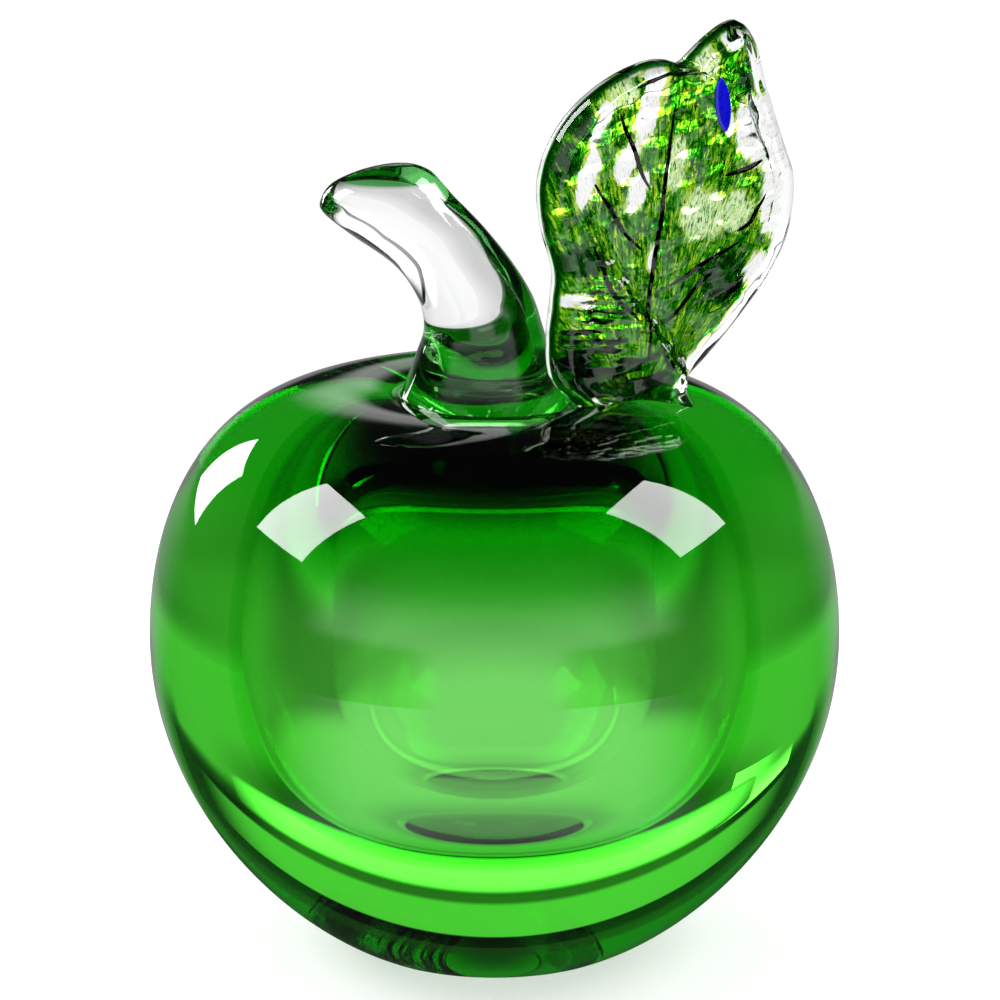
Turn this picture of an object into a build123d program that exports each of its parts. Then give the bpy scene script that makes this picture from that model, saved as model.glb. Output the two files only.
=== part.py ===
"""Art glass apple: a thick green body round a sealed bubble, with a hot-applied stem and leaf.

The body stands on a ring ground flat round a polished hollow. It is one deep green glass in two
gathers: the lining, gathered first and blown round the bubble, and the thick casing over it.
The stem is one bent bit of clear glass that fills the dimple. The leaf is a pressed and folded
blade of clear glass, cased over a core of green chips and dark threads.
Origin at the centre of the foot ring, +Z up, the leaf to +X, seen from -Y. Millimetres.
"""
from build123d import *

import os
from math import cos, radians, sin, sqrt

# Body
body_diameter = 120.0
belly_height = 55.2
crest_height = 99.2
crest_radius = 26.0
dimple_depth = 11.2
foot_radius = 24.0
foot_rise_angle = 24.6
foot_rise_reach = 18.5
belly_lower_reach = 26.2
belly_upper_reach = 25.5
shoulder_reach = 21.5
dimple_lip_reach = 18.0
dimple_floor_reach = 8.0
hollow_radius = 21.5
hollow_depth = 2.6

# Sealed bubble and its lining: widest level with the belly, flattened above and below
bubble_radius = 29.0
crown_thickness = 7.0
base_thickness = 29.75
bubble_roof_share = 0.84
bubble_floor_share = 0.69
lining_thickness = 1.6

# Stem
stem_foot_x = -2.4
stem_foot_rise = 6.0
stem_plug_overrun = 1.0
stem_rise = 44.4
stem_lean = 16.4
stem_width = 20.4
stem_depth = 20.4
# height, lean to the left, width and depth of the slices, from the foot to the domed top
stem_slice_shares = (
    (0.000, 0.00, 1.56, 1.50),
    (0.122, -0.01, 1.32, 1.28),
    (0.260, -0.03, 1.12, 1.12),
    (0.360, -0.03, 1.00, 1.00),
    (0.480, 0.06, 0.97, 0.96),
    (0.610, 0.29, 1.00, 0.90),
    (0.735, 0.66, 1.17, 0.84),
    (0.815, 0.89, 1.22, 0.80),
    (0.865, 0.96, 1.12, 0.74),
    (0.920, 0.97, 0.93, 0.63),
    (0.965, 0.90, 0.64, 0.45),
    (0.992, 0.84, 0.30, 0.22),
)

# Leaf: its outline and everything in it are placed as shares of the width and height of its plane,
# which is turned back to the right about the left edge
leaf_left_x = 7.2
leaf_left_y = -11.0
leaf_turn = 21.0
leaf_start_drop = 1.6
leaf_width = 47.3
leaf_height = 65.8
leaf_thickness = 6.4
leaf_camber = 3.4
leaf_rim_radius = 2.6
# from the foot up the left rim, over the lobe and the notch to the tip, and down the right rim
leaf_rim_shares = (
    (0.180, -0.050),
    (0.052, 0.090),
    (0.034, 0.230),
    (0.052, 0.365),
    (0.012, 0.490),
    (0.003, 0.610),
    (0.058, 0.730),
    (0.175, 0.832),
    (0.320, 0.895),
    (0.435, 0.910),
    (0.507, 0.902),
    (0.565, 0.930),
    (0.640, 0.974),
    (0.735, 1.000),
    (0.812, 0.948),
    (0.856, 0.840),
    (0.925, 0.700),
    (0.992, 0.580),
    (0.985, 0.455),
    (0.880, 0.315),
    (0.700, 0.170),
    (0.560, 0.058),
    (0.590, -0.050),
)

# Fold that stands forward from the foot's right end up to the left
fold_diameter = 5.0
fold_forward = 2.2
fold_shares = ((0.50, 0.04), (0.46, 0.13), (0.40, 0.22), (0.32, 0.31), (0.22, 0.41), (0.14, 0.52))
# how far along the fold, and its width there
fold_taper_shares = ((0.00, 0.80), (0.25, 1.00), (0.50, 0.95), (0.75, 0.75), (1.00, 0.35))

# Core of green chips inside the leaf
core_thickness = 2.2
core_rim_shares = (
    (0.24, 0.08),
    (0.14, 0.20),
    (0.15, 0.38),
    (0.10, 0.58),
    (0.20, 0.76),
    (0.36, 0.83),
    (0.52, 0.82),
    (0.66, 0.91),
    (0.75, 0.88),
    (0.79, 0.72),
    (0.87, 0.52),
    (0.77, 0.34),
    (0.60, 0.18),
    (0.46, 0.08),
)

# Dark glass threads laid over the core, each through three places
thread_diameter = 1.1
thread_cover = 0.5
midrib_shares = ((0.38, 0.12), (0.42, 0.45), (0.49, 0.80))
right_thread_shares = (
    ((0.46, 0.22), (0.56, 0.30), (0.64, 0.35)),
    ((0.47, 0.32), (0.60, 0.37), (0.74, 0.42)),
    ((0.74, 0.45), (0.80, 0.48), (0.85, 0.54)),
    ((0.68, 0.60), (0.76, 0.61), (0.84, 0.63)),
)
left_thread_shares = (
    ((0.34, 0.24), (0.24, 0.33), (0.18, 0.44)),
    ((0.36, 0.42), (0.27, 0.50), (0.19, 0.60)),
    ((0.39, 0.58), (0.33, 0.68), (0.28, 0.78)),
)

# Blank oval mark let into the front of the leaf
mark_width = 3.0
mark_height = 9.4
mark_thickness = 0.9
mark_proud = 0.15
mark_turn = 7.0
mark_place_share = (0.664, 0.789)

body_radius = body_diameter / 2
dimple_height = crest_height - dimple_depth
stem_foot_height = dimple_height + stem_foot_rise
leaf_start_height = crest_height - leaf_start_drop
os.makedirs("parts", exist_ok=True)


def quarter_round(low, high, handle_share, start_flat):
    """Control points of a quarter round from low to high, leaving low level or upright."""
    across = high[0] - low[0]
    up = high[1] - low[1]
    if start_flat:
        first = (low[0] + across * handle_share, low[1])
        second = (high[0], high[1] - up * handle_share)
    else:
        first = (low[0], low[1] + up * handle_share)
        second = (high[0] - across * handle_share, high[1])
    return low, first, second, high


def bubble_of(swell):
    """The bubble's half outline, closed on the axis, swollen all round by the given length."""
    bottom = (0, base_thickness - swell)
    side = (bubble_radius + swell, belly_height)
    top = (0, dimple_height - crown_thickness + swell)
    with BuildSketch(Plane.XZ) as outline:
        with BuildLine():
            Bezier(*quarter_round(bottom, side, bubble_floor_share, True))
            Bezier(*quarter_round(side, top, bubble_roof_share, False))
            Line(top, bottom)
        make_face()
    return outline.sketch


# Outer casing: the profile runs from the hollow over the foot, belly and crest into the dimple
with BuildPart() as casing:
    with BuildSketch(Plane.XZ):
        with BuildLine():
            hollow_round = (hollow_radius**2 + hollow_depth**2) / (2 * hollow_depth)
            centre = (0, hollow_depth)
            foot_inner = (hollow_radius, 0)
            foot_outer = (foot_radius, 0)
            rise = (foot_radius + foot_rise_reach * cos(radians(foot_rise_angle)),
                    foot_rise_reach * sin(radians(foot_rise_angle)))
            belly = (body_radius, belly_height)
            crest = (crest_radius, crest_height)
            dimple = (0, dimple_height)
            RadiusArc(centre, foot_inner, hollow_round)
            Line(foot_inner, foot_outer)
            Bezier(foot_outer, rise, (body_radius, belly_height - belly_lower_reach), belly)
            Bezier(belly, (body_radius, belly_height + belly_upper_reach),
                   (crest_radius + shoulder_reach, crest_height), crest)
            Bezier(crest, (crest_radius - dimple_lip_reach, crest_height),
                   (dimple_floor_reach, dimple_height), dimple)
            Line(dimple, centre)
        make_face()
    revolve(axis=Axis.Z)
    add(bubble_of(lining_thickness))
    revolve(axis=Axis.Z, mode=Mode.SUBTRACT)
casing.part.label = "casing"

# Lining: the first gather of the green glass, between the casing and the sealed air
with BuildPart() as bubble_lining:
    add(bubble_of(lining_thickness))
    revolve(axis=Axis.Z)
    add(bubble_of(0))
    revolve(axis=Axis.Z, mode=Mode.SUBTRACT)
bubble_lining.part.label = "bubble_lining"

# Stem: level slices that lean to the left, domed where the flame has rounded the cut, over a plug
# that fills the dimple
with BuildPart() as stem:
    with BuildSketch(Plane((stem_foot_x, 0, dimple_height - stem_plug_overrun))):
        Ellipse(stem_width * stem_slice_shares[0][2] / 2, stem_depth * stem_slice_shares[0][3] / 2)
    for height_share, lean_share, width_share, depth_share in stem_slice_shares:
        slice_centre = (stem_foot_x - stem_lean * lean_share, 0,
                        stem_foot_height + stem_rise * height_share)
        with BuildSketch(Plane(slice_centre)):
            Ellipse(stem_width * width_share / 2, stem_depth * depth_share / 2)
    loft()
    add(casing.part, mode=Mode.SUBTRACT)
stem.part.label = "stem"


leaf_across = Vector(cos(radians(leaf_turn)), sin(radians(leaf_turn)), 0)
leaf_plane = Plane(origin=(leaf_left_x, leaf_left_y, leaf_start_height), x_dir=leaf_across,
                   z_dir=leaf_across.cross(Vector(0, 0, 1)))
leaf_bend_radius = (leaf_width**2 / 4 + leaf_camber**2) / (2 * leaf_camber)


def scaled_to_leaf(shares):
    """Places in the leaf's plane, from shares of its width and height."""
    return [(leaf_width * across_share, leaf_height * up_share) for across_share, up_share in shares]


def leaf_point(place_share, forward):
    """A point forward of the middle of the bent blade."""
    [(across, up)] = scaled_to_leaf([place_share])
    back = sqrt(leaf_bend_radius**2 - (across - leaf_width / 2) ** 2)
    return leaf_plane.from_local_coords((across, up, back - leaf_bend_radius + leaf_camber + forward))


def bent_sheet(thickness):
    """Tall sheet of even thickness, bent about an upright axis behind the leaf."""
    with BuildPart(mode=Mode.PRIVATE) as sheet:
        with BuildSketch(Plane(leaf_point((0.5, 0), -leaf_bend_radius))):
            Circle(leaf_bend_radius + thickness / 2)
            Circle(leaf_bend_radius - thickness / 2, mode=Mode.SUBTRACT)
        extrude(amount=2 * leaf_height, both=True)
    return sheet.part


# Core of green chips, pressed flat inside the blade
with BuildPart() as leaf_core:
    with BuildSketch(leaf_plane):
        with BuildLine():
            Spline(scaled_to_leaf(core_rim_shares), periodic=True)
        make_face()
    extrude(amount=leaf_width / 2, both=True)
    add(bent_sheet(core_thickness), mode=Mode.INTERSECT)
leaf_core.part.label = "leaf_core"

# Dark threads drawn over the core: one up the middle, the others out towards the rims
with BuildPart() as leaf_threads:
    thread_forward = core_thickness / 2 + thread_cover + thread_diameter / 2
    for thread in (midrib_shares, *right_thread_shares, *left_thread_shares):
        route = ThreePointArc([leaf_point(share, thread_forward) for share in thread], mode=Mode.PRIVATE)
        with BuildSketch(Plane(origin=route @ 0, z_dir=route % 0)):
            Circle(thread_diameter / 2)
        sweep(path=route)
leaf_threads.part.label = "leaf_threads"

# Blank oval mark, let into the front of the blade
with BuildPart() as blue_mark:
    mark_back = leaf_thickness / 2 + mark_proud - mark_thickness
    with BuildSketch(Plane(origin=leaf_point(mark_place_share, mark_back), x_dir=leaf_across,
                           z_dir=leaf_plane.z_dir)):
        Ellipse(mark_width / 2, mark_height / 2, rotation=mark_turn)
    extrude(amount=mark_thickness)
blue_mark.part.label = "blue_mark"

# Clear blade: the outline cut from a bent sheet, its rims rounded, with the fold laid on
with BuildPart() as leaf_blade:
    with BuildSketch(leaf_plane):
        with BuildLine():
            rim = Spline(scaled_to_leaf(leaf_rim_shares))
            Line(rim @ 1, rim @ 0)
        make_face()
    extrude(amount=leaf_width / 2, both=True)
    add(bent_sheet(leaf_thickness), mode=Mode.INTERSECT)
    fillet(leaf_blade.edges().sort_by(SortBy.LENGTH)[-2:], leaf_rim_radius)
    fold_route = Spline([leaf_point(share, fold_forward) for share in fold_shares], mode=Mode.PRIVATE)
    for along_share, width_share in fold_taper_shares:
        with BuildSketch(Plane(origin=fold_route @ along_share, z_dir=fold_route % along_share)):
            Circle(fold_diameter / 2 * width_share)
    loft()
    for neighbour in (casing, stem, leaf_core, leaf_threads, blue_mark):
        add(neighbour.part, mode=Mode.SUBTRACT)
leaf_blade.part.label = "leaf_blade"

for piece in (casing, bubble_lining, stem, leaf_blade, leaf_core, leaf_threads, blue_mark):
    export_step(piece.part, f"parts/{piece.part.label}.step")
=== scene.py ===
"""Art glass apple: a thick green body round a sealed bubble, with a clear stem and a pressed leaf."""
from math import cos, pi, radians, sin

import bpy
import numpy as np
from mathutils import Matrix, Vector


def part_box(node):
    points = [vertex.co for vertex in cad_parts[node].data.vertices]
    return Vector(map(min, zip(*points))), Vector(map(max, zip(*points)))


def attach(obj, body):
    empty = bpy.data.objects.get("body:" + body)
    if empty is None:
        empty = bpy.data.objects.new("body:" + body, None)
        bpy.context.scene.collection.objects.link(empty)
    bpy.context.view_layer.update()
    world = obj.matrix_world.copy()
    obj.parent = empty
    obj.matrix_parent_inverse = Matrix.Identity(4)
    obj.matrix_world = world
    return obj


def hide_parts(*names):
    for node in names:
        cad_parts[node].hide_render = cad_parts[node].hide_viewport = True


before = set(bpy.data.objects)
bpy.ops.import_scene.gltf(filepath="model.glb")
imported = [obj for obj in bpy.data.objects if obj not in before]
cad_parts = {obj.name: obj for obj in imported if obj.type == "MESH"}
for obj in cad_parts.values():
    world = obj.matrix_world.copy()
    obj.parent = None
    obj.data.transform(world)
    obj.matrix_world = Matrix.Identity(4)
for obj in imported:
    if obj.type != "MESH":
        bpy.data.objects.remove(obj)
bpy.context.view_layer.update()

# The whole apple, as it is looked at: it stands on a pale bench sheet and is seen a little from above
# with a long lens, so that its sides hardly draw together.
scene = bpy.context.scene
sensor = 0.036
lens_share = 5.744
camera_place = (0.0, -0.9627, 0.3306)
look_at = (0.00096, 0.0, 0.0790)
camera_data = bpy.data.cameras.new("studio_camera")
camera_data.sensor_width = sensor * 1000
camera_data.lens = camera_data.sensor_width * lens_share
camera = bpy.data.objects.new("studio_camera", camera_data)
scene.collection.objects.link(camera)
camera.location = camera_place
gaze = [to - start for to, start in zip(look_at, camera_place)]
camera.rotation_euler = (np.arctan2(gaze[1], -gaze[2]), 0, np.arctan2(-gaze[0], gaze[1]))
scene.camera = camera
scene.view_settings.view_transform = "Standard"
scene.cycles.max_bounces = 40
scene.cycles.transmission_bounces = 40
scene.cycles.glossy_bounces = 12
scene.cycles.transparent_max_bounces = 16

# Body: one thick gather of green glass blown round a bubble, shaped in a block, dimpled on top and
# ground flat on a ring round a polished hollow underneath. Towards the crown its colour is painted a
# deeper green, as painted shade for the darker top.
casing_low, casing_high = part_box("casing")
body_radius = (casing_high[0] - casing_low[0]) / 2
crest_height = casing_high[2]
mm = body_radius / 60  # one millimetre, as the real body is 120 mm across
crest_radius = 26.0 * mm
belly_share = 0.5565
dimple_share = 0.8871
belly_height = belly_share * crest_height
dimple_height = dimple_share * crest_height
foot_radius = 24.0 * mm
foot_rise_angle = radians(24.6)
foot_rise_reach = 18.5 * mm
belly_lower_reach = 26.2 * mm
belly_upper_reach = 25.5 * mm
shoulder_reach = 21.5 * mm
dimple_lip_reach = 18.0 * mm
dimple_floor_reach = 8.0 * mm
hollow_radius = 21.5 * mm
hollow_depth = 2.6 * mm
body_turns = 288
wall_steps = 90
lip_steps = 70
hollow_steps = 24


def bezier(points, count):
    """Points along a cubic curve, without its first one."""
    start, first, second, end = (np.array(point, float) for point in points)
    t = np.linspace(0, 1, count + 1)[1:, None]
    return start * (1 - t)**3 + 3 * first * t * (1 - t)**2 + 3 * second * t**2 * (1 - t) + end * t**3


def turned(outline, turns):
    """Vertices and faces of a closed body turned about the axis from a half outline, axis to axis."""
    angles = np.arange(turns) * 2 * pi / turns
    rings = outline[1:-1]
    spots = [(0, 0, outline[0][1])]
    for radius, height in rings:
        spots += [(radius * cos(a), radius * sin(a), height) for a in angles]
    spots.append((0, 0, outline[-1][1]))
    faces = [(0, 1 + (k + 1) % turns, 1 + k) for k in range(turns)]
    for ring in range(len(rings) - 1):
        low = 1 + ring * turns
        faces += [(low + k, low + (k + 1) % turns, low + turns + (k + 1) % turns, low + turns + k)
                  for k in range(turns)]
    last = 1 + (len(rings) - 1) * turns
    faces += [(last + k, last + (k + 1) % turns, len(spots) - 1) for k in range(turns)]
    return np.array(spots), faces


def turned_inside_out(shape):
    """The same shape as a cavity, with its faces looking inward."""
    spots, faces = shape
    return spots, [face[::-1] for face in faces]


def glass_piece(name, shapes, smooth_angle=radians(35)):
    """One mesh object from several closed shapes, shaded smooth but for its real edges."""
    spots, faces = [], []
    for shape_spots, shape_faces in shapes:
        faces += [tuple(index + len(spots) for index in face) for face in shape_faces]
        spots += [tuple(spot) for spot in shape_spots]
    mesh = bpy.data.meshes.new(name)
    mesh.from_pydata(spots, [], faces)
    mesh.shade_smooth()
    mesh.set_sharp_from_angle(angle=smooth_angle)
    piece = bpy.data.objects.new(name, mesh)
    scene.collection.objects.link(piece)
    return piece


hollow_round = (hollow_radius**2 + hollow_depth**2) / (2 * hollow_depth)
hollow_angles = np.linspace(0, np.arcsin(hollow_radius / hollow_round), hollow_steps)
hollow = np.stack([hollow_round * np.sin(hollow_angles),
                   hollow_depth - hollow_round * (1 - np.cos(hollow_angles))], 1)
foot = (foot_radius, 0)
foot_rise = (foot_radius + foot_rise_reach * cos(foot_rise_angle), foot_rise_reach * sin(foot_rise_angle))
belly = (body_radius, belly_height)
crest = (crest_radius, crest_height)
dimple = (0, dimple_height)
wall = bezier((foot, foot_rise, (body_radius, belly_height - belly_lower_reach), belly), wall_steps)
shoulder = bezier((belly, (body_radius, belly_height + belly_upper_reach),
                   (crest_radius + shoulder_reach, crest_height), crest), wall_steps)
lip = bezier((crest, (crest_radius - dimple_lip_reach, crest_height),
              (dimple_floor_reach, dimple_height), dimple), lip_steps)
body_outline = np.vstack([hollow, [foot], wall, shoulder, lip])

bubble_radius = 29.0 * mm
crown_thickness = 7.0 * mm
base_thickness = 29.75 * mm
bubble_roof_share = 0.84
bubble_floor_share = 0.69
lining_thickness = 1.6 * mm
lining_gap = 0.05 * mm


def bubble_outline(swell, count):
    """Half outline of the bubble, widest level with the belly, swollen all round."""
    bottom, side = base_thickness - swell, bubble_radius + swell
    top = dimple_height - crown_thickness + swell
    drop, rise = belly_height - bottom, top - belly_height
    floor = bezier(((0, bottom), (side * bubble_floor_share, bottom),
                    (side, belly_height - drop * bubble_floor_share), (side, belly_height)), count)
    roof = bezier(((side, belly_height), (side, belly_height + rise * bubble_roof_share),
                   (side * bubble_roof_share, top), (0, top)), count)
    return np.vstack([[(0, bottom)], floor, roof])


class Socket:
    """An output of a shader tree. A sum of sockets and numbers adds its Math nodes to the tree."""

    def __init__(self, output):
        self.output = output

    def maths(self, operation, *values):
        return build(self.output.id_data, "ShaderNodeMath", {"operation": operation}, values)()

    def __add__(self, other):
        return self.maths("ADD", self, other)

    def __radd__(self, other):
        return self.maths("ADD", other, self)

    def __sub__(self, other):
        return self.maths("SUBTRACT", self, other)

    def __rsub__(self, other):
        return self.maths("SUBTRACT", other, self)

    def __mul__(self, other):
        return self.maths("MULTIPLY", self, other)

    def __rmul__(self, other):
        return self.maths("MULTIPLY", other, self)

    def __truediv__(self, other):
        return self.maths("DIVIDE", self, other)

    def __rtruediv__(self, other):
        return self.maths("DIVIDE", other, self)

    def __abs__(self):
        return self.maths("ABSOLUTE", self)

    def at_least(self, other):
        return self.maths("MAXIMUM", self, other)

    def at_most(self, other):
        return self.maths("MINIMUM", self, other)


def build(tree, kind, settings, inputs):
    """Adds one node, sets it, feeds it, and returns a call that gives its outputs by name."""
    node = tree.nodes.new(kind)
    for name, value in settings.items():
        setattr(node, name, value)
    for name, value in (inputs.items() if isinstance(inputs, dict) else enumerate(inputs)):
        if isinstance(value, Socket):
            tree.links.new(value.output, node.inputs[name])
        else:
            node.inputs[name].default_value = value
    return lambda output=0: Socket(node.outputs[output])


def step(value, low, high):
    """A soft step from 0 at low to 1 at high. Pairs of numbers below are such a low and high."""
    return build(value.output.id_data, "ShaderNodeMapRange", {"interpolation_type": "SMOOTHSTEP"},
                 {"Value": value, "From Min": low, "From Max": high})()


def mixed(share, first, second):
    """One colour turned into another by the share. A Mix node has its colours at sockets 6 and 7."""
    return build(share.output.id_data, "ShaderNodeMix", {"data_type": "RGBA"},
                 {0: share, 6: first, 7: second})(2)


def cleared(holder):
    """The shader tree of a new material or world, emptied."""
    holder.use_nodes = True
    holder.node_tree.nodes.clear()
    return holder.node_tree


def glass(name, absorbed, ior):
    """Polished glass that absorbs red, green and blue light at the given rates per metre."""
    material = bpy.data.materials.new(name)
    tree = cleared(material)
    shader = build(tree, "ShaderNodeBsdfPrincipled", {}, {"Base Color": (1, 1, 1, 1), "Roughness": 0.0,
                                                          "IOR": ior, "Transmission Weight": 1.0})()
    density = max(absorbed) / densest_tint
    tint = [1 - rate / density for rate in absorbed]
    volume = build(tree, "ShaderNodeVolumeAbsorption", {}, {"Color": (*tint, 1), "Density": density})()
    build(tree, "ShaderNodeOutputMaterial", {}, {"Surface": shader, "Volume": volume})
    return material


def paint_light_and_shade(material, tint):
    """Paints light and shade into the colour of what the glass lets through, by a tint built in the
    material's own tree.
    """
    shader = material.node_tree.nodes["Principled BSDF"]
    material.node_tree.links.new(tint.output, shader.inputs["Base Color"])


def height_in(tree):
    """Height above the bench of the place that is shaded."""
    place = build(tree, "ShaderNodeTexCoord", {}, {})("Object")
    return build(tree, "ShaderNodeSeparateXYZ", {}, [place])("Z")


green_per_metre = (29.0, 6.0, 36.0)
glass_ior = 1.51
densest_tint = 0.95
white = (1.0, 1.0, 1.0, 1)
# painted shade: the body's colour deepens towards the crown to stand in for its darker top
crown_painted_shade = (0.02, 0.30, 0.02, 1)
crown_shade_shares = (0.62, 0.92)
green_glass = glass("green_glass", green_per_metre, glass_ior)
height = height_in(green_glass.node_tree) / crest_height
paint_light_and_shade(green_glass, mixed(step(height, *crown_shade_shares), white, crown_painted_shade))
bubble_steps = 60
body = glass_piece("body", [turned(body_outline, body_turns),
                            turned_inside_out(turned(bubble_outline(0, bubble_steps), body_turns))])
body.data.materials.append(green_glass)
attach(body, "root")
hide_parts("casing")

# First gather: the thin skin of the same green glass that was picked up first on the pipe and holds
# the air. It is fused to the thick gather all over. Its colour is painted light and shade by height:
# pale green at the belly as painted light, deepening to nearly black at the roof of the bubble as painted
# shade.
skin_turns = 160
skin_steps = 40
lining = glass_piece("bubble_skin", [
    turned(bubble_outline(lining_thickness, skin_steps), skin_turns),
    turned_inside_out(turned(bubble_outline(lining_gap, skin_steps), skin_turns))])
fused_ior = 1.0  # light doesn't bend where glass is fused to glass
# painted light and shade by height: pale at the belly, darker above, nearly black at the roof
belly_painted_light = (0.92, 0.99, 0.90, 1)
upper_painted_shade = (0.04, 0.80, 0.03, 1)
roof_painted_shade = (0.0, 0.03, 0.0, 1)
upper_shade_shares = (0.74, 0.95)
roof_shade_shares = (0.94, 0.995)
bubble_top = dimple_height - crown_thickness
skin_glass = glass("skin_glass", green_per_metre, fused_ior)
height = height_in(skin_glass.node_tree) / bubble_top
tint = mixed(step(height, *upper_shade_shares), belly_painted_light, upper_painted_shade)
paint_light_and_shade(skin_glass, mixed(step(height, *roof_shade_shares), tint, roof_painted_shade))
lining.data.materials.append(skin_glass)
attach(lining, "root")
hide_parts("bubble_lining")

# Stem: one bit of colourless glass dropped hot into the dimple, pulled up, bent to the left and
# cut off, with the cut rounded by the flame.
stem_foot_x = -2.4 * mm
stem_foot_height = 94.0 * mm
stem_rise = 44.4 * mm
stem_lean = 16.4 * mm
stem_width = 20.4 * mm
stem_depth = 20.4 * mm
weld_depth = 0.1 * mm
weld_rows = 4
# height, lean to the left, width and depth of the slices, from the foot to the domed top
stem_slices = (
    (0.000, 0.00, 1.56, 1.50),
    (0.122, -0.01, 1.32, 1.28),
    (0.260, -0.03, 1.12, 1.12),
    (0.360, -0.03, 1.00, 1.00),
    (0.480, 0.06, 0.97, 0.96),
    (0.610, 0.29, 1.00, 0.90),
    (0.735, 0.66, 1.17, 0.84),
    (0.815, 0.89, 1.22, 0.80),
    (0.865, 0.96, 1.12, 0.74),
    (0.920, 0.97, 0.93, 0.63),
    (0.965, 0.90, 0.64, 0.45),
    (0.992, 0.84, 0.30, 0.22),
    (1.000, 0.80, 0.01, 0.01),
)


def smoothed(rows, per_step):
    """Rows of numbers joined by smooth curves, per_step rows for each given one."""
    rows = np.array(rows, float)
    padded = np.vstack([2 * rows[0] - rows[1], rows, 2 * rows[-1] - rows[-2]])
    t = np.linspace(0, 1, per_step, False)[:, None]
    joined = []
    for before, start, end, after in zip(padded, padded[1:], padded[2:], padded[3:]):
        joined.append(start * (2 * t**3 - 3 * t**2 + 1) + (end - before) / 2 * (t**3 - 2 * t**2 + t)
                      + end * (3 * t**2 - 2 * t**3) + (after - start) / 2 * (t**3 - t**2))
    return np.vstack([*joined, rows[-1:]])


def skinned(rings):
    """Vertices and faces of a closed skin over rings of points, with a fan at both ends."""
    count, around = rings.shape[:2]
    spots = np.vstack([rings[0].mean(0), rings.reshape(-1, 3), rings[-1].mean(0)])
    faces = [(0, 1 + (k + 1) % around, 1 + k) for k in range(around)]
    for ring in range(count - 1):
        low = 1 + ring * around
        faces += [(low + k, low + (k + 1) % around, low + around + (k + 1) % around, low + around + k)
                  for k in range(around)]
    last = 1 + (count - 1) * around
    faces += [(last + k, last + (k + 1) % around, len(spots) - 1) for k in range(around)]
    return spots, faces


def body_top(places):
    """Height of the body's upper surface under each place."""
    upper = body_outline[len(hollow) + 1 + len(wall):][::-1]
    return np.interp(np.hypot(places[..., 0], places[..., 1]), upper[:, 0], upper[:, 1])


def welded(rings, shares=(0.2, 0.4, 0.6, 0.8)):
    """The rings with a sole that lies a hair's breadth deep in the glass of the body, all along."""
    rings = rings.copy()
    lift = np.arange(len(rings))[:, None] * weld_depth / weld_rows
    rings[..., 2] = np.maximum(rings[..., 2], body_top(rings) - weld_depth + lift)
    rings[0, :, 2] = body_top(rings[0]) - weld_depth
    middle = rings[0].mean(0)
    sole = np.array([middle + (rings[0] - middle) * share for share in shares])
    sole[..., 2] = body_top(sole) - weld_depth
    return np.concatenate([sole, rings])


stem_sides = 144
steps_per_slice = 16
around = np.arange(stem_sides) * 2 * pi / stem_sides
stem_rings = np.array([
    [(stem_foot_x - stem_lean * lean + stem_width * wide / 2 * cos(a), stem_depth * deep / 2 * sin(a),
      stem_foot_height + stem_rise * up) for a in around]
    for up, lean, wide, deep in smoothed(stem_slices, steps_per_slice)])
stem = glass_piece("stem_bit", [skinned(welded(stem_rings))])


def points_of(piece):
    """The places of a mesh's points."""
    return np.array([vertex.co for vertex in piece.data.vertices])


def hold(piece, name, values):
    """Keeps one value at each point of a mesh, for its material to read."""
    piece.data.attributes.new(name, "FLOAT", "POINT").data.foreach_set("value", values)


def held(tree, name, output="Fac"):
    """What the mesh keeps under the name at each point."""
    return build(tree, "ShaderNodeAttribute", {"attribute_name": name}, {})(output)


# where green is painted on the colourless stem: painted reflection of the body's green along the outer side
# of the bend and on its cap, and painted light of the body's green at its foot, as shares of its rise and,
# for the edge, of its half width
edge_rise_shares = (0.30, 0.45, 0.75, 0.9)
edge_place_shares = (0.30, 0.55, 0.80, 0.86)
edge_softness = 0.06
cap_share = 0.925
cap_softness = 0.012
foot_top_share = 0.34
foot_softness = 0.14


def stem_painted_greens():
    """Keeps on the stem how strongly its edge and cap are painted with the body's reflected green, and its
    foot with the body's green light.
    """
    spots = points_of(stem)
    rise = np.clip((spots[:, 2] - stem_foot_height) / stem_rise, 0, 1)
    up, lean, wide, _ = smoothed(stem_slices, steps_per_slice).T
    middle = stem_foot_x - stem_lean * np.interp(rise, up, lean)
    half_wide = stem_width / 2 * np.interp(rise, up, wide)
    outer_edge = np.interp(rise, edge_rise_shares, edge_place_shares)
    reflected_edge = np.clip(((spots[:, 0] - middle) / half_wide - outer_edge) / edge_softness, 0, 1)
    hold(stem, "reflection_painted", np.maximum(reflected_edge, np.clip((rise - cap_share) / cap_softness, 0, 1)))
    hold(stem, "foot_light_painted", np.clip((foot_top_share - rise) / foot_softness, 0, 1))


stem_painted_greens()
clear_per_metre = (1.2, 0.6, 1.0)
stem_clear = (0.93, 0.92, 0.93, 1)
stem_painted_reflection = (0.01, 0.20, 0.012, 1)
stem_painted_foot_light = (0.10, 0.95, 0.08, 1)
# the stem's glass is colourless; its green is painted: the body's reflected green on edge and cap, the
# body's green light at the foot
stem_glass = glass("stem_glass", clear_per_metre, glass_ior)
tint = mixed(held(stem_glass.node_tree, "reflection_painted"), stem_clear, stem_painted_reflection)
paint_light_and_shade(stem_glass, mixed(held(stem_glass.node_tree, "foot_light_painted"), tint, stem_painted_foot_light))
stem.data.materials.append(stem_glass)
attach(stem, "root")
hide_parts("stem")

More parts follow.
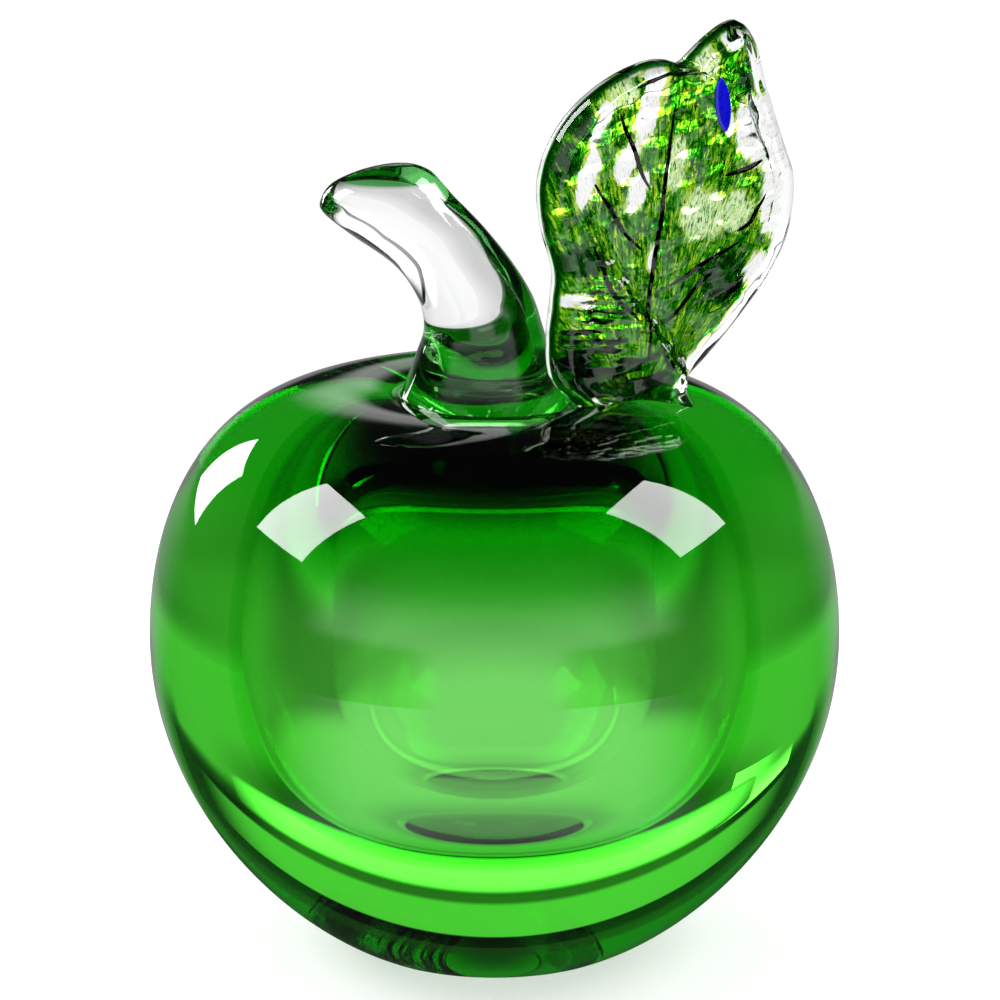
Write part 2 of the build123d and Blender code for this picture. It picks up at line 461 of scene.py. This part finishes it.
# Leaf blade: a flat gather of clear glass, pressed and folded while hot, its rims rounded, its tip
# pulled out, and its foot stuck to the shoulder beside the stem.
leaf_left = (7.2 * mm, -11.0 * mm)
leaf_turn = radians(21.0)
leaf_start_height = crest_height - 1.6 * mm
leaf_width = 47.3 * mm
leaf_height = 65.8 * mm
leaf_thickness = 6.4 * mm
leaf_camber = 3.4 * mm
leaf_bend = (leaf_width**2 / 4 + leaf_camber**2) / (2 * leaf_camber)
leaf_across = np.array((cos(leaf_turn), sin(leaf_turn), 0))
leaf_forward = np.array((sin(leaf_turn), -cos(leaf_turn), 0))
# across and up of the left rim, then of the right rim, row by row from the foot to the tip
leaf_rim_rows = (
    (0.156, 0.000, 0.575, 0.005),
    (0.052, 0.080, 0.540, 0.048),
    (0.034, 0.190, 0.640, 0.125),
    (0.047, 0.290, 0.780, 0.232),
    (0.052, 0.375, 0.880, 0.315),
    (0.012, 0.490, 0.960, 0.410),
    (0.003, 0.610, 0.990, 0.500),
    (0.050, 0.715, 0.990, 0.580),
    (0.138, 0.805, 0.960, 0.640),
    (0.260, 0.872, 0.932, 0.690),
    (0.380, 0.907, 0.905, 0.742),
    (0.460, 0.909, 0.886, 0.782),
    (0.507, 0.898, 0.872, 0.808),
    (0.552, 0.922, 0.860, 0.834),
    (0.602, 0.953, 0.848, 0.868),
    (0.668, 0.985, 0.828, 0.918),
    (0.712, 0.998, 0.800, 0.960),
    (0.735, 1.000, 0.775, 0.985),
)
leaf_rows = smoothed(leaf_rim_rows, 14)
blade_columns = 121
most_inset_share = 0.45


def leaf_place(across, up, forward):
    """Points in the blade from shares of its width and height and a length forward of its middle."""
    back = np.sqrt(leaf_bend**2 - (leaf_width * (across - 0.5))**2) - leaf_bend + leaf_camber
    return (np.array((*leaf_left, leaf_start_height)) + leaf_across * (leaf_width * across)[..., None]
            + np.array((0, 0, 1)) * (leaf_height * up)[..., None]
            + leaf_forward * (back + forward)[..., None])


def leaf_grid(columns, inset_left=0.0, inset_right=0.0):
    """Across and up shares of a grid over the blade, with the distance from the nearer rim."""
    left, right = leaf_rows[:, :2], leaf_rows[:, 2:]
    length = np.hypot(*((right - left) * (leaf_width, leaf_height)).T)[:, None]
    start = np.minimum(inset_left / length, most_inset_share)
    end = 1 - np.minimum(inset_right / length, most_inset_share)
    share = start + (end - start) * (1 - np.cos(np.linspace(0, pi, columns)))[None] / 2
    across = left[:, :1] + (right - left)[:, :1] * share
    up = left[:, 1:] + (right - left)[:, 1:] * share
    return across, up, np.minimum(share, 1 - share) * length


fold_points = ((0.54, 0.00), (0.49, 0.10), (0.40, 0.20), (0.30, 0.30), (0.21, 0.41), (0.12, 0.54))
fold_line = smoothed(fold_points, 10)
fold_height = 1.9 * mm
fold_slope = 4.5 * mm
fold_drop = 1.4 * mm
fold_step = 1.5 * mm
fold_step_reach = 10.0 * mm
fold_middle_share = 0.55
fold_fade_shares = (1.0, 0.8, 0.0)


def fold(across, up):
    """How far the blade stands forward at the fold that climbs to the left, and back beyond it."""
    size = np.array((leaf_width, leaf_height))
    apart = (np.stack([across, up], -1)[..., None, :] - fold_line) * size
    gap = np.hypot(apart[..., 0], apart[..., 1])
    nearest = gap.argmin(-1)
    distance = gap.min(-1)
    along = np.gradient(fold_line * size, axis=0)[nearest]
    offset = np.take_along_axis(apart, nearest[..., None, None], -2)[..., 0, :]
    beyond = along[..., 1] * offset[..., 0] - along[..., 0] * offset[..., 1] > 0
    turning_point = len(fold_line) * fold_middle_share
    fade = np.interp(nearest, (0, turning_point, len(fold_line) - 1), fold_fade_shares)
    ridge = fold_height * np.exp(-(distance / np.where(beyond, fold_drop, fold_slope))**2)
    step_down = fold_step * (1 - np.exp(-(distance / fold_drop)**2)) * np.exp(-distance / fold_step_reach)
    return fade * (ridge - np.where(beyond, step_down, 0))


def unevenness(across, up, size):
    """Soft swells as a hot tool leaves them, from waves that never line up."""
    x, z = across * leaf_width / size, up * leaf_height / size
    return (np.sin(1.9 * x + 0.7 * z + 0.4) * np.sin(1.3 * z - 0.9 * x + 1.1)
            + 0.6 * np.sin(2.9 * x - 1.7 * z + 2.0) * np.sin(3.7 * z + 0.8 * x)) / 1.6


rim_bead = 0.45 * mm
rim_bead_place = 2.8 * mm
rim_bead_width = 1.6 * mm
middle_thinning = 0.22
swell_size = 4.2 * mm
swell_height = 0.65 * mm
press_size = 1.5 * mm
press_height = 0.12 * mm
press_shift = 3.0
ripple_size = 1.7 * mm
ripple_height = 0.22 * mm
ripple_lean = 5
ripple_right_share = 0.42
ripple_fade_share = 0.2
ripple_up_share = 0.26
ripple_high_share = 0.12
tip_rows = 20
back_fold = 0.6
back_bead = 0.7
back_swell = 0.8


def blade_rings():
    """Rings round the blade, row by row from the foot to the tip."""
    across, up, gap = leaf_grid(blade_columns)
    rows_to_tip = len(leaf_rows) - 0.4 - np.arange(len(leaf_rows))
    tip_rounding = np.clip(rows_to_tip / tip_rows, 0, 1)[:, None]**0.5
    half = np.minimum(leaf_thickness / 2 * tip_rounding, gap.max(1, keepdims=True))
    inward = np.clip(gap / half, 0, 1)
    inner = np.clip(gap / leaf_thickness, 0, 1)
    thinning = middle_thinning * np.clip(gap / leaf_thickness - 0.5, 0, 1)
    half = half * np.sqrt(1 - (1 - inward)**2) * (1 - thinning)
    bead = rim_bead * np.exp(-((gap - rim_bead_place) / rim_bead_width)**2) * inward
    swell = swell_height * unevenness(across, up, swell_size) * inner
    press = press_height * unevenness(across + press_shift, up, press_size) * inner
    low_left = np.clip((ripple_right_share - across) / ripple_fade_share, 0, 1)
    low_left = low_left * np.exp(-((up - ripple_up_share) / ripple_high_share)**2)
    wave = np.sin(2 * pi * up * leaf_height / ripple_size + ripple_lean * across)
    ripple = ripple_height * low_left * wave * inner
    lift = fold(across, up)
    front = leaf_place(across, up, lift + half + bead + swell + press + ripple)
    back = leaf_place(across, up, back_fold * lift - half - back_bead * bead + back_swell * swell - press)
    return np.concatenate([front, back[:, -2:0:-1]], 1)


def round_bubble(centre, radius, sides=10):
    """A small round bubble, with its faces looking inward."""
    slope = np.linspace(-pi / 2, pi / 2, sides // 2 + 1)
    outline = np.stack([radius * np.cos(slope), radius * np.sin(slope)], 1)
    spots, faces = turned_inside_out(turned(outline, sides))
    return spots + centre, faces


inside_fold = 0.8
inside_swell = 0.8
seed_count = 170
bare_foot_rows = 30
bare_tip_rows = 40
seed_place_shares = (0.10, 0.86)
seed_depths = (1.5, 2.0)
seed_radii = (0.10, 0.26)
chance = np.random.default_rng(7)
seeds = []
for seed in range(seed_count):
    row = leaf_rows[chance.integers(bare_foot_rows, len(leaf_rows) - bare_tip_rows)]
    spot = row[:2] + (row[2:] - row[:2]) * chance.uniform(*seed_place_shares)
    depth = mm * chance.uniform(*seed_depths) * chance.choice((-1, 1)) + inside_fold * fold(*spot)
    seeds.append(round_bubble(leaf_place(*spot, depth), mm * chance.uniform(*seed_radii)))
leaf = glass_piece("leaf_glass", [skinned(welded(blade_rings())), *seeds])
clear_glass = glass("clear_glass", clear_per_metre, glass_ior)
leaf.data.materials.append(clear_glass)
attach(leaf, "root")
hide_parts("leaf_blade")

# Leaf core: crushed green glass rolled on to the hot blade, drawn into streaks by the pull and
# covered with clear glass, in two thin layers.
core_inset_left = 0.8 * mm
core_inset_right = 2.6 * mm
layer_thickness = 0.25 * mm
layer_places = (1.0 * mm, -0.6 * mm)
core_columns = 121
core_rows = slice(4, -5)


def chip_layer(place):
    """One closed layer of chips, forward of the blade's middle by the given length."""
    grids = leaf_grid(core_columns, core_inset_left, core_inset_right)
    across, up, gap = (grid[core_rows] for grid in grids)
    room = np.clip((gap - 0.5 * core_inset_left) / leaf_thickness, 0, 1)**0.5
    swell = inside_swell * swell_height * unevenness(across, up, swell_size)
    middle = inside_fold * fold(across, up) + (place + swell) * room
    skin = layer_thickness * np.clip(gap / core_inset_left - 0.9, 0.1, 1)
    front, back = leaf_place(across, up, middle + skin / 2), leaf_place(across, up, middle - skin / 2)
    return skinned(np.concatenate([front, back[:, -2:0:-1]], 1))


def patches(across, up, ovals):
    """How far each place is inside the ovals: across, up, half width, half height and lean to the left."""
    inside = np.zeros_like(across)
    for centre_across, centre_up, half_wide, half_high, lean in ovals:
        x = (across - centre_across) * leaf_width / mm
        z = (up - centre_up) * leaf_height / mm
        wide = (x * cos(radians(lean)) + z * sin(radians(lean))) / half_wide
        high = (z * cos(radians(lean)) - x * sin(radians(lean))) / half_high
        inside = np.maximum(inside, 1 - np.hypot(wide, high) / 2)
    return inside


clear_patches = (
    (0.724, 0.961, 2.4, 2.2, 0), (0.404, 0.804, 2.2, 7.6, -16), (0.316, 0.651, 2.0, 4.3, -25),
    (0.171, 0.614, 1.7, 5.8, -15), (0.354, 0.571, 1.7, 4.0, -20), (0.220, 0.758, 1.1, 4.3, -25),
    (0.699, 0.749, 1.1, 3.6, 10), (0.830, 0.701, 4.4, 6.8, 15), (0.900, 0.513, 3.0, 6.5, 0),
    (0.816, 0.345, 1.9, 3.4, -35), (0.133, 0.292, 3.6, 1.2, 0), (0.412, 0.395, 0.9, 2.5, -15),
    (0.440, 0.900, 1.0, 3.0, -10),
    (0.560, 0.080, 1.6, 5.5, -38), (0.930, 0.640, 2.6, 5.0, 0), (0.350, 0.880, 1.8, 1.6, 0),
)
pale_patches = (
    (0.610, 0.500, 4.4, 4.6, 30), (0.740, 0.500, 3.6, 3.6, 0), (0.500, 0.640, 2.0, 5.0, -10),
    (0.300, 0.830, 2.4, 2.4, -40), (0.620, 0.900, 2.0, 3.4, 0),
)
dark_patches = (
    (0.103, 0.657, 1.9, 4.0, -20), (0.694, 0.325, 5.3, 5.3, 0), (0.147, 0.394, 4.6, 2.9, 0),
    (0.134, 0.104, 5.2, 7.0, 0), (0.781, 0.835, 1.8, 2.4, 0), (0.797, 0.889, 1.3, 1.3, 0),
    (0.973, 0.578, 0.8, 1.1, 0), (0.159, 0.760, 1.9, 3.6, -20), (0.430, 0.000, 9.0, 7.0, 0),
)
fan_centre = (0.38, -0.05)
fan_reach = 34
streak_width = 1.1
streak_length = 8.0
layer_shift = 9.0
rim_rows = 60
rim_chips_and_shade_width = 1.2
core = glass_piece("green_chips", [chip_layer(place) for place in layer_places], radians(180))


def chip_places():
    """Keeps on the chips their place in the fan of streaks, and how far each is in a patch or a rim."""
    spots = points_of(core)
    across = ((spots - (*leaf_left, 0)) @ leaf_across) / leaf_width
    up = (spots[:, 2] - leaf_start_height) / leaf_height
    fan = np.array((across - fan_centre[0], up - fan_centre[1])) * ((leaf_width,), (leaf_height,)) / mm
    turn = np.arctan2(fan[0], fan[1]) * fan_reach
    layer = np.repeat((0, 1), len(spots) // 2)
    grain = np.stack([turn / streak_width, np.hypot(*fan) / streak_length, layer_shift * layer], 1)
    core.data.attributes.new("grain", "FLOAT_VECTOR", "POINT").data.foreach_set("vector", grain.ravel())
    hold(core, "clear", patches(across, up, clear_patches))
    hold(core, "pale", patches(across, up, pale_patches))
    hold(core, "dark", patches(across, up, dark_patches))
    # the dark green rim band is partly darker chips near the rims and partly painted shade for the dark
    # that the rims refract
    left, right = leaf_rows[:, :2], leaf_rows[:, 2:]
    rim_points = np.vstack([left, right[-rim_rows:]]) * (leaf_width, leaf_height) / mm
    from_rim = np.stack([across * leaf_width, up * leaf_height], 1)[:, None] / mm - rim_points
    rim_gap = np.min(np.hypot(*from_rim.transpose(2, 0, 1)), 1)
    hold(core, "rim", np.clip(1 - (rim_gap - rim_chips_and_shade_width) / rim_chips_and_shade_width, 0, 1))


chip_places()
pale_green = (0.90, 0.97, 0.62, 1)
pale_patch = (0.84, 0.93, 0.72, 1)
yellow_green = (0.52, 0.70, 0.09, 1)
leaf_green = (0.10, 0.42, 0.03, 1)
dark_green = (0.006, 0.16, 0.006, 1)
bare_glass = (0.95, 0.95, 0.95, 1)
grey_line = (0.72, 0.74, 0.72, 1)
core_green = (0.4, 0.9, 0.3, 1)
core_density = 20.0
# scale, detail and twist of each noise
streak_noise = (1.1, 4.0, 0.8)
fleck_noise = (2.8, 3.0, 1.2)
fine_noise = (5.5, 2.0, 0.5)
crumb_noise = (620.0, 3.0, 1.0)
# where each colour sets in, as levels of the noise or of the patch that it follows
leaf_green_from = (0.45, 0.56)
pale_green_from = (0.57, 0.66)
dark_fleck_from = (0.54, 0.60)
dark_crumb_from = (0.58, 0.64)
pale_patch_from = (0.44, 0.56)
pale_patch_gaps = (0.62, 0.50)
dark_patch_from = (0.50, 0.62)
dark_patch_gaps = (0.66, 0.50)
grey_line_from = (0.60, 0.66)
window_from = (0.47, 0.53)
rim_chips_and_shade_from = (0.30, 0.70)
# how far the noise moves the edge of a patch and of the rim
streak_wander = 0.55
fleck_wander = 0.35
rim_wander = 0.6


def chip_colour(tree):
    """Green crumbs drawn out along the fan, with clear windows, pale and dark patches, and dark rims that
    are partly darker chips and partly painted shade.
    """
    def noise(place, scale, detail, twist):
        inputs = {"Vector": place, "Scale": scale, "Detail": detail, "Distortion": twist}
        return build(tree, "ShaderNodeTexNoise", {}, inputs)("Fac")

    fan = held(tree, "grain", "Vector")
    streaks, flecks, fine = noise(fan, *streak_noise), noise(fan, *fleck_noise), noise(fan, *fine_noise)
    crumbs = noise(build(tree, "ShaderNodeTexCoord", {}, {})("Object"), *crumb_noise)
    wander = (streaks - 0.5) * streak_wander + (flecks - 0.5) * fleck_wander
    colour = mixed(step(streaks, *leaf_green_from), yellow_green, leaf_green)
    colour = mixed(step(fine, *pale_green_from), colour, pale_green)
    colour = mixed(step(flecks, *dark_fleck_from), colour, dark_green)
    colour = mixed(step(crumbs, *dark_crumb_from), colour, dark_green)
    pale = step(held(tree, "pale") + wander, *pale_patch_from) * step(fine, *pale_patch_gaps)
    colour = mixed(pale, colour, pale_patch)
    dark = step(held(tree, "dark") + wander, *dark_patch_from) * step(fine, *dark_patch_gaps)
    colour = mixed(dark, colour, dark_green)
    window = mixed(step(fine, *grey_line_from), bare_glass, grey_line)
    colour = mixed(step(held(tree, "clear") + wander, *window_from), colour, window)
    # dark rim: partly darker chips, partly painted shade
    return mixed(step(held(tree, "rim") + wander * rim_wander, *rim_chips_and_shade_from), colour, dark_green)


chip_glass = bpy.data.materials.new("chip_glass")
tree = cleared(chip_glass)
shader = build(tree, "ShaderNodeBsdfPrincipled", {}, {
    "Base Color": chip_colour(tree), "Roughness": 0.0, "IOR": fused_ior, "Transmission Weight": 1.0})()
volume = build(tree, "ShaderNodeVolumeAbsorption", {}, {"Color": core_green, "Density": core_density})()
build(tree, "ShaderNodeOutputMaterial", {}, {"Surface": shader, "Volume": volume})
core.data.materials.append(chip_glass)
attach(core, "root")
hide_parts("leaf_core")

# Leaf threads: thin threads of dark green glass, drawn out beforehand and laid hot on the chips as a
# midrib and side veins, then covered with the front of the blade. Each route has its start, middle
# and end as shares across and up the leaf.
thread_routes = (
    ((0.38, 0.12), (0.42, 0.45), (0.49, 0.80)),
    ((0.46, 0.22), (0.56, 0.30), (0.64, 0.35)),
    ((0.47, 0.32), (0.60, 0.37), (0.74, 0.42)),
    ((0.74, 0.45), (0.80, 0.48), (0.85, 0.54)),
    ((0.68, 0.60), (0.76, 0.61), (0.84, 0.63)),
    ((0.34, 0.24), (0.24, 0.33), (0.18, 0.44)),
    ((0.36, 0.42), (0.27, 0.50), (0.19, 0.60)),
    ((0.39, 0.58), (0.33, 0.68), (0.28, 0.78)),
)
thread_radius = 0.42 * mm
thread_forward = 2.0 * mm
thread_steps = 36
thread_sides = 14
thread_end_share = 0.25
thread_wriggle = 0.004
thread_per_metre = (1700.0, 620.0, 1700.0)


def thread(route):
    """A closed thread along a smooth route in the blade, drawn thin at both ends."""
    (a, b, c), t = np.array(route), np.linspace(0, 1, thread_steps)[:, None]
    path = a * (1 - t) * (1 - 2 * t) + b * 4 * t * (1 - t) + c * t * (2 * t - 1)
    wriggle = thread_wriggle * np.sin(9 * t[:, 0] + 40 * a[0])
    forward = thread_forward + inside_fold * fold(path[:, 0], path[:, 1])
    centre = leaf_place(path[:, 0] + wriggle, path[:, 1], forward)
    along = np.gradient(centre, axis=0)
    along /= np.linalg.norm(along, axis=1)[:, None]
    side = np.cross(along, leaf_forward)
    side /= np.linalg.norm(side, axis=1)[:, None]
    out = np.cross(side, along)
    bulge = np.sin(pi * np.clip(t, 0.02, 0.98))**0.6
    radius = thread_radius * (thread_end_share + (1 - thread_end_share) * bulge)
    angles = np.arange(thread_sides) * 2 * pi / thread_sides
    outward = [side * cos(angle) + out * sin(angle) for angle in angles]
    return skinned(np.stack([centre + radius * way for way in outward], 1))


threads = glass_piece("drawn_threads", [thread(route) for route in thread_routes])
threads.data.materials.append(glass("thread_glass", thread_per_metre, fused_ior))
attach(threads, "root")
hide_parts("leaf_threads")

# Blue mark: a flat drop of opaque blue glass, left blank, pressed into the front of the blade while
# both were hot, with its face a hair's breadth proud.
mark_place = (0.664, 0.789)
mark_turn = radians(7.0)
mark_half_width = 1.5 * mm
mark_half_height = 4.7 * mm
mark_half_depth = 0.45 * mm
mark_forward = 3.0 * mm
mark_rings = 38
mark_sides = 48
mark_point = 1.15
mark_flatness = 0.6
rings = []
for slope in np.linspace(-pi / 2, pi / 2, mark_rings + 2)[1:-1]:
    angles = np.arange(mark_sides) * 2 * pi / mark_sides
    wide = mark_half_width * cos(slope)**mark_point * np.cos(angles)
    high = mark_half_height * sin(slope)
    x, z = wide * cos(mark_turn) - high * sin(mark_turn), wide * sin(mark_turn) + high * cos(mark_turn)
    rings.append(leaf_place(mark_place[0] + x / leaf_width, mark_place[1] + z / leaf_height,
                            mark_forward + mark_half_depth * cos(slope)**mark_flatness * np.sin(angles)))
mark = glass_piece("blue_oval", [skinned(np.array(rings))])
deep_blue = (0.0, 0.0, 0.40, 1)
plain_blue = (0.002, 0.004, 0.52, 1)
plain_blue_from = (0.3, 0.7)
blue_grains_per_metre = 900.0
fired_roughness = 0.15
blue = bpy.data.materials.new("mark_blue")
tree = cleared(blue)
place = build(tree, "ShaderNodeTexCoord", {}, {})("Object")
mottle = build(tree, "ShaderNodeTexNoise", {}, {"Vector": place, "Scale": blue_grains_per_metre,
                                                "Detail": 2.0})("Fac")
colour = mixed(step(mottle, *plain_blue_from), deep_blue, plain_blue)
shader = build(tree, "ShaderNodeBsdfPrincipled", {}, {"Base Color": colour, "Roughness": fired_roughness})()
build(tree, "ShaderNodeOutputMaterial", {}, {"Surface": shader})
mark.data.materials.append(blue)
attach(mark, "root")
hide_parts("blue_mark")

# Bench sheet: white paper on the bench, as white as the background to the camera. Polished faces and
# the glass see it darker or brighter in rings round the apple, to match the bands in the photo: a painted
# shadow of the apple round its foot and under its hollow, and painted pools of light beyond. Lights from
# here on are levels beside the background's 1, lengths are metres, and directions are shares.
floor_radius = 0.35
floor_sides = 96
sheet_white = 0.985
paper_grey = 0.9
paper_glow_share = 0.6
mirrored_painted_shadow = 0.03
mirrored_behind = 0.35
front_painted_light = 1.5
painted_shadow_edge = (0.066, 0.085)
behind_from = (0.50, 0.85)
front_from = (0.45, 0.85)
rings_dark = 0.40
near_painted_light = 0.66
near_light_end = (0.10, 0.155)
far_ring = 0.55
far_ring_from = (0.22, 0.35)
back_strip = 0.34
strip_sides = (0.05, 0.20)
strip_back = (0.0, 0.1)
strip_from = (0.11, 0.17)
contact_painted_shadow = 0.30
contact_shadow_end = (0.012, 0.040)


def flat_sheet(name, corners):
    """A flat sheet that belongs to the studio and not to the apple."""
    mesh = bpy.data.meshes.new(name)
    mesh.from_pydata(corners, [], [tuple(range(len(corners)))])
    sheet = bpy.data.objects.new(name, mesh)
    scene.collection.objects.link(sheet)
    return sheet


def ray_kinds(tree):
    """Whether a ray has come through glass, and whether it comes straight off a polished face."""
    path = build(tree, "ShaderNodeLightPath", {}, {})
    through = path("Is Transmission Ray")
    return through, path("Is Glossy Ray") * (1 - through)


def sheet_light(tree, through, glossy):
    """How brightly the sheet glows to each kind of ray, by metres from the apple's axis, with a painted
    shadow of the apple round its foot and under its hollow and painted pools of light round that.
    """
    place = build(tree, "ShaderNodeNewGeometry", {}, {})("Position")
    away = build(tree, "ShaderNodeVectorMath", {"operation": "LENGTH"}, [place])("Value")
    spot = build(tree, "ShaderNodeSeparateXYZ", {}, [place])
    behind = spot("Y") / away
    two_sides = mirrored_behind * step(behind, *behind_from)
    two_sides = two_sides + front_painted_light * step(0 - behind, *front_from)
    # painted shadow of the apple near its foot in reflections, with a painted pool of light in front beyond
    # it
    mirrored = mirrored_painted_shadow + step(away, *painted_shadow_edge) * two_sides
    beyond = step(away, *far_ring_from)
    strip = (1 - step(abs(spot("X")), *strip_sides)) * step(spot("Y"), *strip_back)
    strip = strip * step(away, *strip_from) * (1 - beyond)
    seen_through = rings_dark + near_painted_light * (1 - step(away, *near_light_end)) + far_ring * beyond
    # painted shadow under the apple's hollow, seen through the glass
    outside_contact_shadow = contact_painted_shadow + (1 - contact_painted_shadow) * step(away, *contact_shadow_end)
    seen_through = (seen_through + back_strip * strip) * outside_contact_shadow
    return glossy * mirrored + (1 - glossy) * (through * seen_through + (1 - through) * sheet_white)


floor = flat_sheet("bench_sheet", [(floor_radius * cos(a), floor_radius * sin(a), 0)
                                   for a in np.linspace(0, 2 * pi, floor_sides, False)])
paper = bpy.data.materials.new("bench_paper")
tree = cleared(paper)
through, glossy = ray_kinds(tree)
dull = build(tree, "ShaderNodeBsdfDiffuse", {}, {"Color": (paper_grey, paper_grey, paper_grey, 1)})()
glow = build(tree, "ShaderNodeEmission", {}, {"Strength": sheet_light(tree, through, glossy)})()
glow_share = paper_glow_share + (1 - paper_glow_share) * glossy.at_least(through)
sheet = build(tree, "ShaderNodeMixShader", {}, [glow_share, dull, glow])()
build(tree, "ShaderNodeOutputMaterial", {}, {"Surface": sheet})
floor.data.materials.append(paper)

# Card behind: a bright card that stands behind the apple, seen only through the glass. Its lit bands
# make the bright stripe in the base and the light that falls off upward in the bubble.
card_place = 0.33
card_half_width = 0.55
card_bottom = 0.001
card_top = 0.30
# level of each lit band, its lower and upper end and how soft they are
bright_band = (3.9, 0.098, 0.132, 0.006)
high_band = (1.3, 0.152, 0.236, 0.004)
faint_band = (0.35, 0.136, 0.152, 0.003)
low_glow = 1.05
low_glow_end = (0.10, 0.14)
band_sides = (0.13, 0.25)
high_band_sides = (0.2, 0.4)
wings_from = (0.08, 0.30)
wings_end = (0.44, 0.52)
cover_per_light = 3.0
covered_above = (0.132, 0.138)


def band(value, level, low, high, soft):
    """The level between low and high, with soft ends."""
    return level * step(value, low - soft, low + soft) * (1 - step(value, high - soft, high + soft))


def card_light(tree):
    """How brightly the card glows and how far it covers what is behind, by metres up and aside."""
    place = build(tree, "ShaderNodeNewGeometry", {}, {})("Position")
    spot = build(tree, "ShaderNodeSeparateXYZ", {}, [place])
    aside, up = abs(spot("X")), spot("Z")
    lower_part = 1 - step(up, *low_glow_end)
    lit = (band(up, *bright_band) + band(up, *faint_band)) * (1 - step(aside, *band_sides))
    lit = lit + band(up, *high_band) * (1 - step(aside, *high_band_sides))
    wings = step(aside, *wings_from) * (1 - step(aside, *wings_end)) * lower_part
    covered = (cover_per_light * lit).at_most(1.0).at_least(wings).at_least(step(up, *covered_above))
    return lit + low_glow * lower_part, covered


card = flat_sheet("card_behind", [(-card_half_width, card_place, card_bottom),
                                  (card_half_width, card_place, card_bottom),
                                  (card_half_width, card_place, card_top),
                                  (-card_half_width, card_place, card_top)])
card.visible_camera = False
card.visible_diffuse = False
card.visible_shadow = False
card.visible_glossy = False
lit_card = bpy.data.materials.new("lit_card")
tree = cleared(lit_card)
card_glow, covered = card_light(tree)
glow = build(tree, "ShaderNodeEmission", {}, {"Strength": card_glow})()
bare = build(tree, "ShaderNodeBsdfTransparent", {}, {})()
veil = build(tree, "ShaderNodeMixShader", {}, [covered, bare, glow])()
build(tree, "ShaderNodeOutputMaterial", {}, {"Surface": veil})
card.data.materials.append(lit_card)

# Room: a white background for the camera, an even light on dull faces, and a dark room with a few lit
# parts for the glass and its polished faces, which need both white and dark to show.
even = 0.9
dark_room = 0.02
lit_wall = 0.8
wall_back = (0.85, 0.93)
wall_left = (-0.20, -0.04)
wall_right = (0.02, 0.09)
wall_bottom = (0.17, 0.26)
wall_top = (0.36, 0.50)
near_room = 1.3
near_room_back = (-0.6, -0.35)
near_room_top = (0.15, 0.50)
dark_sides = (0.30, 0.50)
dark_sides_top = (0.06, 0.14)
far_glow = 0.30
far_glow_back = (0.60, 0.95)
far_glow_top = (-0.02, 0.08)


def mirrored_room(side, back, up):
    """What polished faces show in each direction: the near room, a lit wall and a faint far glow."""
    wall = step(back, *wall_back) * step(side, *wall_left) * (1 - step(side, *wall_right))
    wall = wall * step(up, *wall_bottom) * (1 - step(up, *wall_top))
    low_sides = step(abs(side), *dark_sides) * (1 - step(up, *dark_sides_top))
    room = (1 - step(back, *near_room_back)) * (1 - step(up, *near_room_top)) * (1 - low_sides)
    far_side = step(back, *far_glow_back) * (1 - step(up, *far_glow_top))
    return dark_room + far_glow * far_side + lit_wall * wall + near_room * room


through_dark = 0.08
through_low = 0.98
through_low_top = (0.02, 0.16)
through_near = 1.35
through_near_back = (0.10, 0.50)
through_near_top = (0.80, 0.88)


def room_through_glass(back, up):
    """What the glass lets through from each direction: white low down, and the lit near room."""
    low = 1 - step(up, *through_low_top)
    lit_room = (1 - step(back, *through_near_back)) * (1 - step(up, *through_near_top))
    return through_dark + through_low * low + (1 - low) * through_near * lit_room


studio = bpy.data.worlds.new("studio")
scene.world = studio
tree = cleared(studio)
way = build(tree, "ShaderNodeTexCoord", {}, {})("Generated")
parts = build(tree, "ShaderNodeSeparateXYZ", {}, [way])
through, glossy = ray_kinds(tree)
seen = build(tree, "ShaderNodeLightPath", {}, {})("Is Camera Ray")
brightness = glossy * mirrored_room(parts("X"), parts("Y"), parts("Z"))
brightness = brightness + through * room_through_glass(parts("Y"), parts("Z"))
brightness = brightness + (1 - glossy) * (1 - through) * (seen + even * (1 - seen))
background = build(tree, "ShaderNodeBackground", {}, {"Color": white, "Strength": brightness})()
build(tree, "ShaderNodeOutputWorld", {}, {"Surface": background})

# Soft boxes: two big ones at the sides, whose square reflections lie on the shoulders, and a smaller
# one behind on the left. Each row holds the direction, the width and height, and the light per area.
lamp_distance = 1.0
lamps = {
    "soft_box_left": ((-0.73, -0.035, 0.61), (0.45, 0.50), 13.0),
    "soft_box_right": ((0.70, -0.05, 0.67), (0.45, 0.55), 11.0),
    "soft_box_left_behind": ((-0.61, 0.70, 0.27), (0.30, 0.35), 9.0),
}
for name, (direction, size, shine) in lamps.items():
    lamp = bpy.data.lights.new(name, "AREA")
    lamp.shape = "RECTANGLE"
    lamp.size, lamp.size_y = size
    lamp.energy = shine * pi * size[0] * size[1]
    holder = bpy.data.objects.new(name, lamp)
    scene.collection.objects.link(holder)
    toward = np.array(direction) / np.linalg.norm(direction)
    holder.location = toward * lamp_distance + np.array((0, 0, belly_height))
    level = np.hypot(toward[0], toward[1])
    holder.rotation_euler = (np.arctan2(level, toward[2]), 0, np.arctan2(toward[0], -toward[1]))
    holder.visible_camera = False
